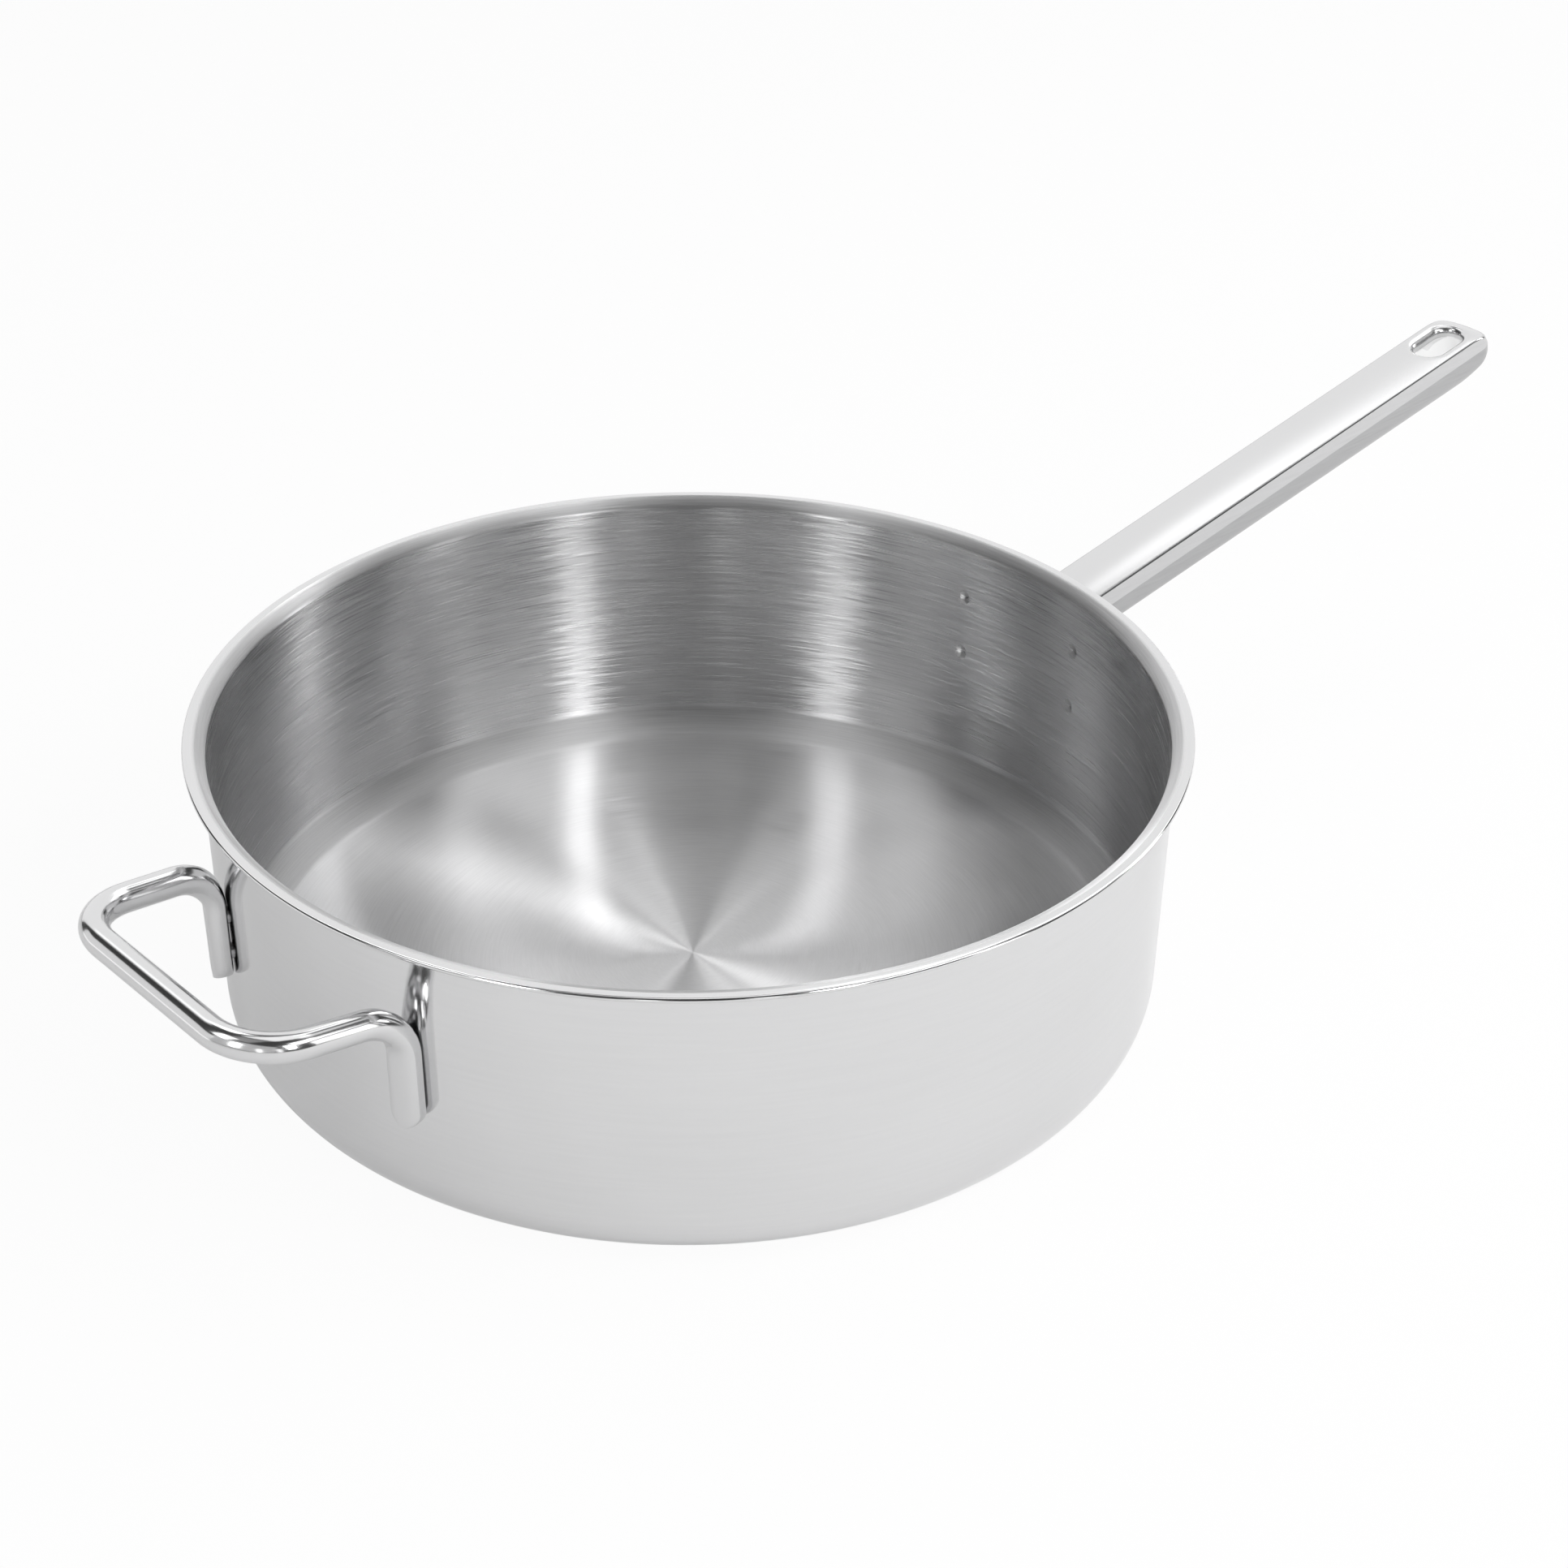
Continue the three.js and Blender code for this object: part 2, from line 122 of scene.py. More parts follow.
# Rows of the handle's skins, as shares of the way
RUN_STEPS = 40
STRAIGHT_STEPS = 24
TIP_STEPS = 48
TOP_STEPS = 20
DISH_STEPS = 14
SHOULDER_STEPS = 6
KEEL_STEPS = 30
KEEL_ROWS = 14
FLAT_SHARES = (1.0, 0.75, 0.5, 0.25)
DROP_SHARES = (0.35, 0.7, 1.0)
WELL_SHARES = (0.05, 0.4, 0.8, 1.0)

# Bracket
BRACKET_THICKNESS = 2.0
BRACKET_WIDTH = 62.0
BRACKET_HEIGHT = 36.0
BRACKET_CENTRE = 63.1
BRACKET_CORNER = 8.0
BRACKET_EDGE = 0.6
BRACKET_CORNER_STEPS = 12
BRACKET_EDGE_STEPS = 5
BRACKET_SHARES = (0.25, 0.5, 0.75, 0.9)

# Helper handle
BAR_DIAMETER = 8.5
HELPER_REACH = 183.1
HELPER_HEIGHT = 78.3
HELPER_TILT = 7.0 * RAD
HELPER_HALF_SPAN = 43.6
HELPER_CORNER_RADIUS = 18.8
HELPER_BEND_RADIUS = 14.0
FOOT_ANGLE = 18.4 * RAD
FOOT_BOTTOM = 36.8
FOOT_BAR_WIDTH = 9.7
FOOT_BAR_THICKNESS = 5.8
FOOT_POWER = 3.2
ROUND_POWER = 2.0

# Sections of the helper handle
TOE_STEPS = 12
TOE_START = 0.4
SHANK_STEPS = 6
BEND_STEPS = 28
EASE_LEAD = 6
EASE_SHARE = 0.8
BAR_SIDES = 48

# Sewing, in metres
SEW_DISTANCE = 2e-6
THIN_DISTANCE = 1e-6
SHARP_ANGLE = 40 * RAD


def lerp(a, b, t):
    return a + (b - a) * t


def clamp(t):
    return min(1.0, max(0.0, t))


def smoothstep(t):
    t = clamp(t)
    return t * t * (3 - 2 * t)


def signed_power(value, power):
    return math.copysign(abs(value) ** power, value)


def spread(start, end, steps):
    return [lerp(start, end, i / steps) for i in range(steps + 1)]


def arc(centre_r, centre_z, radius, start, end, steps):
    turns = spread(start, end, steps)
    return [(centre_r + radius * math.cos(a), centre_z + radius * math.sin(a)) for a in turns]


def wall_at(z):
    """The outer wall's radius at this height."""
    return WALL_RADIUS + (z - CORNER_RADIUS) * math.tan(WALL_DRAFT)


class Skin:
    """Patches of points in millimetres that are sewn into one mesh."""

    def __init__(self):
        self.points = []
        self.faces = []
        self.paint = []

    def patch(self, rows, around=False, paint=0):
        width = len(rows[0])
        start = len(self.points)
        for row in rows:
            self.points.extend(row)
        for i in range(len(rows) - 1):
            low, high = start + i * width, start + (i + 1) * width
            for j in range(width if around else width - 1):
                k = (j + 1) % width
                self.faces.append((low + j, low + k, high + k, high + j))
                self.paint.append(paint)

    def fan(self, ring, middle, paint=0):
        start = len(self.points)
        self.points.extend(ring)
        self.points.append(middle)
        for j in range(len(ring)):
            self.faces.append((start + j, start + (j + 1) % len(ring), start + len(ring)))
            self.paint.append(paint)

    def make(self, name, place=Matrix.Identity(4), thickness=0.0, out_hint=None):
        """Sews the patches, turns the faces outwards and thickens an open skin inwards."""
        sheet = bmesh.new()
        made = [sheet.verts.new(place @ Vector(p) * MM) for p in self.points]
        for face, paint in zip(self.faces, self.paint):
            sheet.faces.new([made[i] for i in face]).material_index = paint
        bmesh.ops.remove_doubles(sheet, verts=sheet.verts, dist=SEW_DISTANCE)
        bmesh.ops.dissolve_degenerate(sheet, edges=sheet.edges, dist=THIN_DISTANCE)
        bmesh.ops.recalc_face_normals(sheet, faces=sheet.faces)
        if out_hint is not None:
            spot = place @ Vector(out_hint) * MM
            nearest = min(sheet.faces, key=lambda f: (f.calc_center_median() - spot).length)
            if nearest.normal.dot(spot - nearest.calc_center_median()) < 0:
                bmesh.ops.reverse_faces(sheet, faces=sheet.faces)
        sheet.edges.index_update()
        open_edges = [edge.index for edge in sheet.edges if edge.is_boundary]
        mesh = bpy.data.meshes.new(name)
        sheet.to_mesh(mesh)
        sheet.free()
        piece = bpy.data.objects.new(name, mesh)
        bpy.context.scene.collection.objects.link(piece)
        mesh.shade_smooth()
        mesh.set_sharp_from_angle(angle=SHARP_ANGLE)
        for index in open_edges:
            mesh.edges[index].use_edge_sharp = True
        if thickness:
            shell = piece.modifiers.new("sheet", "SOLIDIFY")
            shell.thickness = thickness * MM
            shell.offset = -1.0
            shell.use_even_offset = False
        return piece


# Vessel: one turned skin, with the weld marks pressed into the inner wall

INSIDE, OUTSIDE, UNDER = 0, 1, 2


def vessel_profile():
    """The inner, outer and lower runs of the vessel's section, as radius and height."""
    rim_height = PAN_HEIGHT - RIM_BEND - WALL
    rim_centre = wall_at(rim_height) + RIM_BEND
    lip = WALL / 2
    heights = spread(WALL_START, rim_height, 30)
    for centre in MARK_HEIGHTS:
        heights += spread(centre - MARK_REACH, centre + MARK_REACH, 16)
    fillet_radius, fillet_height = INNER_RADIUS - FLOOR_FILLET, FLOOR_TOP + FLOOR_FILLET
    inside = [(r, FLOOR_TOP) for r in FLOOR_RINGS]
    inside += arc(fillet_radius, fillet_height, FLOOR_FILLET, -QUARTER, 0, 16)
    inside += [(wall_at(z) - WALL, z) for z in sorted(set(heights)) if z < rim_height - TOUCHING]
    inside += arc(rim_centre, rim_height, RIM_BEND + WALL, math.pi, QUARTER, 12)
    outside = inside[-1:]
    outside += arc(rim_centre + RIM_FLANGE - lip, PAN_HEIGHT - lip, lip, QUARTER, -QUARTER, 10)
    outside += arc(rim_centre, rim_height, RIM_BEND, QUARTER, math.pi, 10)
    outside += [(wall_at(z), z) for z in spread(rim_height - BELOW_RIM, WALL_START, 24)]
    outside += arc(WALL_RADIUS - CORNER_RADIUS, CORNER_RADIUS, CORNER_RADIUS, 0, -QUARTER, 22)
    under = outside[-1:]
    under += [(POCKET_RADIUS, 0), (POCKET_RADIUS, FLOOR_UNDERSIDE), (FAN_RADIUS, FLOOR_UNDERSIDE)]
    return inside, outside, under


def turned_angles():
    """Even turns, with finer ones at the weld marks."""
    angles = {round(i * 360 / VESSEL_SIDES, 3) for i in range(VESSEL_SIDES)}
    for i in range(-MARK_STEPS, MARK_STEPS + 1):
        angles.add(round(MARK_ANGLE + i * MARK_TURN, 3))
        angles.add(round(360 - MARK_ANGLE + i * MARK_TURN, 3))
    return [a * RAD for a in sorted(angles)]


def mark_depth(angle, z):
    """How far the inner wall is pressed outwards at this place."""
    depth = 0.0
    for side in (MARK_ANGLE * RAD, 2 * math.pi - MARK_ANGLE * RAD):
        for height in MARK_HEIGHTS:
            away = math.hypot((angle - side) * INNER_RADIUS, z - height)
            depth += MARK_DEPTH * math.exp(-((away / MARK_RADIUS) ** 2))
    return depth


def make_vessel():
    angles = turned_angles()
    skin = Skin()

    def ring(r, z, marked=False):
        deep = [mark_depth(a, z) if marked else 0.0 for a in angles]
        return [((r + d) * math.cos(a), (r + d) * math.sin(a), z) for a, d in zip(angles, deep)]

    inside, outside, under = vessel_profile()
    rows = [ring(r, z, MARKED_FROM < z < MARKED_TO) for r, z in inside]
    skin.patch(rows, True, INSIDE)
    skin.fan(rows[0], (0, 0, FLOOR_TOP), INSIDE)
    skin.patch([ring(r, z) for r, z in outside], True, OUTSIDE)
    rows = [ring(r, z) for r, z in under]
    skin.patch(rows, True, UNDER)
    skin.fan(rows[-1], (0, 0, FLOOR_UNDERSIDE), UNDER)
    return skin.make("vessel")


def make_base_disc():
    flat_radius = POCKET_RADIUS - FIT - CAP_EDGE
    profile = [(FAN_RADIUS, CAP_THICKNESS), (flat_radius, CAP_THICKNESS)]
    profile += arc(flat_radius, CAP_THICKNESS - CAP_EDGE, CAP_EDGE, QUARTER, 0, 4)
    profile += arc(flat_radius, CAP_EDGE, CAP_EDGE, 0, -QUARTER, 4)
    profile += [(FAN_RADIUS, 0)]
    turns = [2 * math.pi * i / CAP_SIDES for i in range(CAP_SIDES)]
    rows = [[(r * math.cos(a), r * math.sin(a), z) for a in turns] for r, z in profile]
    skin = Skin()
    skin.patch(rows, True)
    skin.fan(rows[0], (0, 0, CAP_THICKNESS))
    skin.fan(rows[-1], (0, 0, 0))
    return skin.make("base_disc")


# Long handle: two pressed shells

HANDLE_PLACE = (
    Matrix.Translation((WALL_RADIUS, 0, HANDLE_ROOT_HEIGHT))
    @ Matrix.Rotation(-HANDLE_SLOPE, 4, "Y")
)
ABOVE_HANDLE = (100, 0, 5)
BELOW_HANDLE = (100, 0, -30)


def near_tip(x, stretch):
    return max(0.0, (x - HANDLE_LENGTH + stretch) / stretch) ** 2


def tip_drop(x):
    return TIP_DROOP * near_tip(x, TIP_DROOP_LENGTH)


def top_height(x, y):
    return -tip_drop(x) - HANDLE_CROWN * (y / (HALF_WIDTH - HANDLE_DRAFT)) ** 2


def keel_depth(x):
    full = lerp(KEEL_ROOT, KEEL_TIP, clamp(x / HANDLE_LENGTH))
    return full - TIP_TURN_UP * near_tip(x, TIP_TURN_UP_LENGTH)


def keel_height(x, y):
    u = abs(y) / HALF_WIDTH
    if x > TIP_CENTRE:
        u = (u ** TIP_POWER + ((x - TIP_CENTRE) / TIP_ROUND) ** TIP_POWER) ** (1 / TIP_POWER)
    u = min(1.0, u)
    return -SEAM_DROP - keel_depth(x) * (1 - u ** KEEL_POWER) ** (1 / KEEL_POWER)


def swell(point):
    """The blunt tip stands out furthest at half its height."""
    x, y, z = point
    top = -tip_drop(x)
    down = clamp((top - z) / (top + SEAM_DROP + keel_depth(x)))
    hump = 4 * down * (1 - down) - TIP_BULGE_SHIFT
    return (x + TIP_BULGE * near_tip(x, TIP_DROOP_LENGTH) * hump, y, z)


def root_x(y, z):
    """Where the handle meets the bracket's outer face."""
    radius = wall_at(HANDLE_ROOT_HEIGHT + z) + FIT + BRACKET_THICKNESS + FIT
    out = math.sqrt(radius ** 2 - y ** 2) - WALL_RADIUS
    return (out + z * math.sin(HANDLE_SLOPE)) / math.cos(HANDLE_SLOPE)


def handle_outline(inset):
    """The plan outline from the slot region's start round the tip and back, drawn in by the inset."""
    outline = [(x, HALF_WIDTH, 0.0, 1.0) for x in spread(SLOT_REGION, TIP_CENTRE, STRAIGHT_STEPS)]
    for i in range(1, TIP_STEPS):
        a = math.pi * i / TIP_STEPS
        u = signed_power(math.cos(a), 2 / TIP_POWER)
        v = math.sin(a) ** (2 / TIP_POWER)
        nx = v ** (TIP_POWER - 1) / TIP_ROUND
        ny = signed_power(u, TIP_POWER - 1) / HALF_WIDTH
        size = math.hypot(nx, ny)
        outline.append((TIP_CENTRE + TIP_ROUND * v, HALF_WIDTH * u, nx / size, ny / size))
    outline += [(x, -HALF_WIDTH, 0.0, -1.0) for x in spread(TIP_CENTRE, SLOT_REGION, STRAIGHT_STEPS)]
    return [(x - inset * nx, y - inset * ny) for x, y, nx, ny in outline]


def slot_spoke(x, y, radius):
    """The point at this distance from the slot's middle line, on the way to (x, y)."""
    centre = min(SLOT_FAR, max(SLOT_NEAR, x))
    away = math.hypot(x - centre, y)
    return (centre + (x - centre) / away * radius, y / away * radius)


def slot_loop(rim, across):
    """The closed loop round the slot region: the rim, and the section where the region starts."""
    return rim + [(SLOT_REGION, y) for y in reversed(across[1:-1])]


def swollen(rings):
    return [[swell(p) for p in ring] for ring in rings]


def handle_run(profile):
    """Sections from the root to the slot region, through pairs of a y and its height along x."""
    rows = []
    for t in spread(0.0, 1.0, RUN_STEPS):
        row = []
        for y, height in profile:
            x = lerp(root_x(y, height(0.0)), SLOT_REGION, t)
            row.append((x, y, height(x)))
        rows.append(row)
    return rows


TOP, SIDE = 0, 1


def make_handle_upper():
    edge = HANDLE_DRAFT + SHOULDER
    half = HALF_WIDTH - edge
    across = spread(half, -half, TOP_STEPS)
    rim = handle_outline(edge)
    loop = slot_loop(rim, across)

    def flat_ring(share):
        ring = []
        for x, y in loop:
            dx, dy = slot_spoke(x, y, DISH_RADIUS)
            px, py = lerp(dx, x, share), lerp(dy, y, share)
            ring.append((px, py, top_height(px, py)))
        return ring

    def sunk_ring(radius, depth):
        ring = []
        for x, y in loop:
            px, py = slot_spoke(x, y, radius)
            ring.append((px, py, top_height(px, py) - depth))
        return ring

    def side_height(shelf, level):
        if level <= 0:
            return shelf + level
        return lerp(shelf - SHOULDER, -SEAM_DROP, level)

    skin = Skin()
    top = handle_run([(y, lambda x, y=y: top_height(x, y)) for y in across])
    skin.patch(top, paint=TOP)
    rings = [flat_ring(share) for share in FLAT_SHARES]
    for i in range(DISH_STEPS + 1):
        a = QUARTER * i / DISH_STEPS
        radius = SLOT_RADIUS + (DISH_RADIUS - SLOT_RADIUS) * (1 - math.sin(a))
        rings.append(sunk_ring(radius, DISH_DEPTH * (1 - math.cos(a))))
    rings += [sunk_ring(SLOT_RADIUS, DISH_DEPTH + SLOT_LIP * share) for share in DROP_SHARES]
    skin.patch(swollen(rings), True, TOP)

    levels = []
    for i in range(SHOULDER_STEPS + 1):
        a = QUARTER * i / SHOULDER_STEPS
        levels.append((HANDLE_DRAFT + SHOULDER * (1 - math.sin(a)), -SHOULDER * (1 - math.cos(a))))
    levels += [(lerp(HANDLE_DRAFT, 0.0, share), share) for share in DROP_SHARES]
    for sign in (1, -1):
        profile = []
        for inset, level in levels:
            def height(x, level=level):
                return side_height(top_height(x, half), level)
            profile.append((sign * (HALF_WIDTH - inset), height))
        skin.patch(handle_run(profile), paint=SIDE)
    rows = []
    for inset, level in levels:
        outline = zip(handle_outline(inset), rim)
        rows.append([(x, y, side_height(top_height(ex, ey), level)) for (x, y), (ex, ey) in outline])
    skin.patch(swollen(rows), paint=SIDE)
    return skin.make("handle_upper", HANDLE_PLACE, SHEET, ABOVE_HANDLE)


KEEL, WELL = 0, 1


def make_handle_lower():
    turns = [math.cos(math.pi * i / KEEL_STEPS) for i in range(KEEL_STEPS + 1)]
    across = [HALF_WIDTH * signed_power(c, 2 / KEEL_POWER) for c in turns]
    loop = slot_loop(handle_outline(0.0), across)

    def keel_ring(share):
        ring = []
        for x, y in loop:
            wx, wy = slot_spoke(x, y, WELL_RADIUS)
            px, py = lerp(x, wx, share), lerp(y, wy, share)
            ring.append((px, py, keel_height(px, py)))
        return ring

    skin = Skin()
    keel = handle_run([(y, lambda x, y=y: keel_height(x, y)) for y in across])
    skin.patch(keel, paint=KEEL)
    last = math.cos(KEEL_TURN) ** (2 / KEEL_POWER)
    rings = []
    for i in range(KEEL_ROWS + 1):
        u = math.cos(KEEL_TURN * i / KEEL_ROWS) ** (2 / KEEL_POWER)
        rings.append(keel_ring((1 - u) / (1 - last)))
    skin.patch(swollen(rings), True, KEEL)

    roof = -DISH_DEPTH - SLOT_LIP - FIT
    ceiling = roof - SHEET
    rings = rings[-1:]
    for share in WELL_SHARES:
        spokes = [slot_spoke(x, y, WELL_RADIUS) for x, y in loop]
        rings.append([(x, y, lerp(keel_height(x, y), ceiling, share)) for x, y in spokes])
    mouth = (
        (SLOT_RADIUS + WELL_EDGE, ceiling),
        (SLOT_RADIUS, ceiling + WELL_EDGE),
        (SLOT_RADIUS, roof),
    )
    for radius, z in mouth:
        rings.append([(*slot_spoke(x, y, radius), z) for x, y in loop])
    skin.patch(swollen(rings), True, WELL)
    return skin.make("handle_lower", HANDLE_PLACE, SHEET, BELOW_HANDLE)


# Bracket: a rounded saddle on the wall

def bracket_outline(inset):
    """A rounded rectangle round the bracket's middle, drawn in by the inset."""
    radius = BRACKET_CORNER - inset
    across = BRACKET_WIDTH / 2 - inset - radius
    up = BRACKET_HEIGHT / 2 - inset - radius
    outline = []
    for start, x, y in ((0, across, up), (90, -across, up), (180, -across, -up), (270, across, -up)):
        for turn in spread(start, start + 90, BRACKET_CORNER_STEPS):
            a = turn * RAD
            outline.append((x + radius * math.cos(a), y + radius * math.sin(a)))
    return outline


def make_bracket():
    def seat(points, lift):
        row = []
        for across, up in points:
            z = BRACKET_CENTRE + up
            r = wall_at(z) + FIT + lift
            a = across / WALL_RADIUS
            row.append((r * math.cos(a), r * math.sin(a), z))
        return row

    face = bracket_outline(BRACKET_EDGE)

    def face_row(share, lift):
        return seat([(x * share, y * share) for x, y in face], lift)

    rows = [face_row(share, BRACKET_THICKNESS) for share in BRACKET_SHARES]
    for i in range(BRACKET_EDGE_STEPS + 1):
        a = QUARTER * i / BRACKET_EDGE_STEPS
        outline = bracket_outline(BRACKET_EDGE * (1 - math.sin(a)))
        rows.append(seat(outline, BRACKET_THICKNESS - BRACKET_EDGE * (1 - math.cos(a))))
    rows.append(seat(bracket_outline(0), 0))
    rows += [face_row(share, 0) for share in reversed(BRACKET_SHARES)]
    skin = Skin()
    skin.patch(rows, True)
    skin.fan(rows[0], seat([(0, 0)], BRACKET_THICKNESS)[0])
    skin.fan(rows[-1], seat([(0, 0)], 0)[0])
    return skin.make("handle_saddle")


# Helper handle: round bar that eases into flattened feet

def rounded_route(corners, radii):
    """The way through the corners, each turned with its own radius."""
    route = [corners[0]]
    for i in range(1, len(corners) - 1):
        back = (corners[i - 1] - corners[i]).normalized()
        on = (corners[i + 1] - corners[i]).normalized()
        half = back.angle(on) / 2
        bisector = (back + on).normalized()
        across = (on - back).normalized()
        centre = corners[i] + bisector * (radii[i] / math.sin(half))
        sweep = QUARTER - half
        for k in range(BEND_STEPS + 1):
            a = sweep * (2 * k / BEND_STEPS - 1)
            inward = bisector * (radii[i] * math.cos(a))
            route.append(centre - inward + across * (radii[i] * math.sin(a)))
    route.append(corners[-1])
    return route


def foot_at(z):
    """The middle of the flattened foot at this height, on the side of positive y."""
    r = wall_at(z) + FIT + FOOT_BAR_THICKNESS / 2
    return Vector((-r * math.cos(FOOT_ANGLE), r * math.sin(FOOT_ANGLE), z))


def helper_route():
    """The bar's middle line from one toe to the middle of the grip."""
    elbow = HELPER_HEIGHT - (HELPER_REACH + foot_at(HELPER_HEIGHT).x) * math.tan(HELPER_TILT)
    corners = [
        foot_at(FOOT_BOTTOM),
        foot_at(elbow),
        Vector((-HELPER_REACH, HELPER_HALF_SPAN, HELPER_HEIGHT)),
        Vector((-HELPER_REACH, 0, HELPER_HEIGHT)),
    ]
    bends = rounded_route(corners, [0, HELPER_BEND_RADIUS, HELPER_CORNER_RADIUS, 0])[1:]
    toe = []
    for i in range(1, TOE_STEPS + 1):
        rise = FOOT_BAR_WIDTH / 2 * (1 - math.cos(QUARTER * i / TOE_STEPS))
        toe.append(foot_at(FOOT_BOTTOM + rise))
    shank = [toe[-1].lerp(bends[0], i / SHANK_STEPS) for i in range(1, SHANK_STEPS)]
    return toe + shank + bends


def make_helper():
    route = helper_route()
    bend_start = TOE_STEPS + SHANK_STEPS - 1
    round_half = BAR_DIAMETER / 2
    thick = Vector((-math.cos(FOOT_ANGLE), math.sin(FOOT_ANGLE), 0))
    turns = [2 * math.pi * k / BAR_SIDES for k in range(BAR_SIDES)]
    rings = []
    for i, point in enumerate(route):
        tangent = (route[min(i + 1, len(route) - 1)] - route[max(i - 1, 0)]).normalized()
        thick = (thick - tangent * thick.dot(tangent)).normalized()
        wide = tangent.cross(thick)
        ease = smoothstep((i - bend_start + EASE_LEAD) / (EASE_LEAD + EASE_SHARE * BEND_STEPS))
        toe = math.sin(QUARTER * min(1.0, (i + TOE_START) / (TOE_STEPS - 1 + TOE_START)))
        half_wide = lerp(FOOT_BAR_WIDTH / 2, round_half, ease) * toe
        half_thick = lerp(FOOT_BAR_THICKNESS / 2, round_half, ease)
        power = 2 / lerp(FOOT_POWER, ROUND_POWER, ease)
        ring = []
        for a in turns:
            sideways = wide * (half_wide * signed_power(math.cos(a), power))
            outward = thick * (half_thick * signed_power(math.sin(a), power))
            ring.append(point + sideways + outward)
        rings.append(ring)
    for p in rings[-1]:
        p.y = 0
    rings += [[Vector((p.x, -p.y, p.z)) for p in ring] for ring in reversed(rings[:-1])]
    skin = Skin()
    skin.patch(rings, True)
    for ring in (rings[0], rings[-1]):
        skin.fan(ring, sum(ring, Vector()) / BAR_SIDES)
    return skin.make("helper_bar")


vessel = make_vessel()
base_disc = make_base_disc()
handle_upper = make_handle_upper()
handle_lower = make_handle_lower()
saddle = make_bracket()
helper = make_helper()

for piece, slot, nodes in (
    (vessel, "brushed_steel", ["pan_body"]),
    (base_disc, "satin_steel", ["base_cap"]),
    (handle_upper, "handle_steel", ["handle_upper_shell"]),
    (handle_lower, "handle_steel", ["handle_lower_shell"]),
    (saddle, "satin_steel", ["handle_bracket"]),
    (helper, "polished_steel", ["helper_handle"]),
):
    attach(piece, "root")
    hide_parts(*nodes)


# Materials

NOISE_LOW, NOISE_HIGH = 0.3, 0.7
LINE_DETAIL = 3.0
CLOUD_DETAIL = 2.0
CLOUD_SCALE = 18.0
CLOUD_DIP = 0.3
GLOSS_SWING = 0.6
FLAT_GRAIN = 0.35
FLAT_GLOSS = 1.5
# Colour factors by facing: painted shade on the wall, painted light on the upward floor
WALL_PAINTED_SHADE, FLAT_PAINTED_LIGHT = 0.90, 1.14
BEND_FULL = 0.10
BRUSH_TURN = 0.25
LEAN_LOW, LEAN_HIGH = 7 * MM, 25 * MM
FLAT_LEAN = 0.15


class Nodes:
    """A short way to add and join shader nodes."""

    def __init__(self, name):
        self.material = bpy.data.materials.new(name)
        self.material.use_nodes = True
        self.tree = self.material.node_tree
        self.shader = self.tree.nodes["Principled BSDF"]

    def add(self, kind, inputs=(), **settings):
        node = self.tree.nodes.new(kind)
        for key, value in settings.items():
            setattr(node, key, value)
        for name, value in dict(inputs).items():
            self.put(node.inputs[name], value)
        return node

    def put(self, socket, value):
        if isinstance(value, bpy.types.NodeSocket):
            self.tree.links.new(value, socket)
        else:
            socket.default_value = value

    def math(self, operation, a, b=0.0):
        return self.add("ShaderNodeMath", {0: a, 1: b}, operation=operation).outputs[0]

    def vector(self, operation, a, b=(0, 0, 0)):
        return self.add("ShaderNodeVectorMath", {0: a, 1: b}, operation=operation).outputs[0]

    def scaled(self, vector, factor):
        inputs = {0: vector, "Scale": factor}
        return self.add("ShaderNodeVectorMath", inputs, operation="SCALE").outputs[0]

    def remap(self, value, low, high, new_low, new_high):
        inputs = {"Value": value, "From Min": low, "From Max": high}
        inputs |= {"To Min": new_low, "To Max": new_high}
        return self.add("ShaderNodeMapRange", inputs).outputs[0]

    def noise(self, vector, scale, detail):
        inputs = {"Vector": vector, "Scale": scale, "Detail": detail}
        return self.add("ShaderNodeTexNoise", inputs).outputs

    def place(self):
        return self.add("ShaderNodeTexCoord").outputs["Object"]

    def normal(self):
        return self.add("ShaderNodeNewGeometry").outputs["Normal"]

    def parts(self, vector):
        return self.add("ShaderNodeSeparateXYZ", {0: vector}).outputs


def turned_parts(nodes):
    """Height, radius and the direction away from the axis at each point."""
    parts = nodes.parts(nodes.place())
    flat = nodes.add("ShaderNodeCombineXYZ", {0: parts[0], 1: parts[1]}).outputs[0]
    radius = nodes.add("ShaderNodeVectorMath", {0: flat}, operation="LENGTH").outputs["Value"]
    return parts[2], radius, nodes.vector("NORMALIZE", flat)


def turned_coordinates(nodes, turn_scale, step_scale):
    """Coordinates that run slowly round the axis and fast across the brush lines."""
    height, radius, outward = turned_parts(nodes)
    run = nodes.math("MULTIPLY", nodes.math("ADD", radius, height), step_scale)
    lift = nodes.add("ShaderNodeCombineXYZ", {2: run}).outputs[0]
    return nodes.vector("ADD", nodes.scaled(outward, turn_scale), lift)


def straight_coordinates(nodes, along, across):
    """Coordinates with one scale along X and another across it."""
    inputs = {"Vector": nodes.place(), "Scale": (along, across, across)}
    return nodes.add("ShaderNodeMapping", inputs).outputs[0]


def fine_turned(nodes):
    return turned_coordinates(nodes, 6.0, 2300.0)


def soft_turned(nodes):
    return turned_coordinates(nodes, 6.0, 900.0)


def handle_bead(nodes):
    return straight_coordinates(nodes, 1500.0, 1500.0)


def handle_grain(nodes):
    return straight_coordinates(nodes, 60.0, 1500.0)


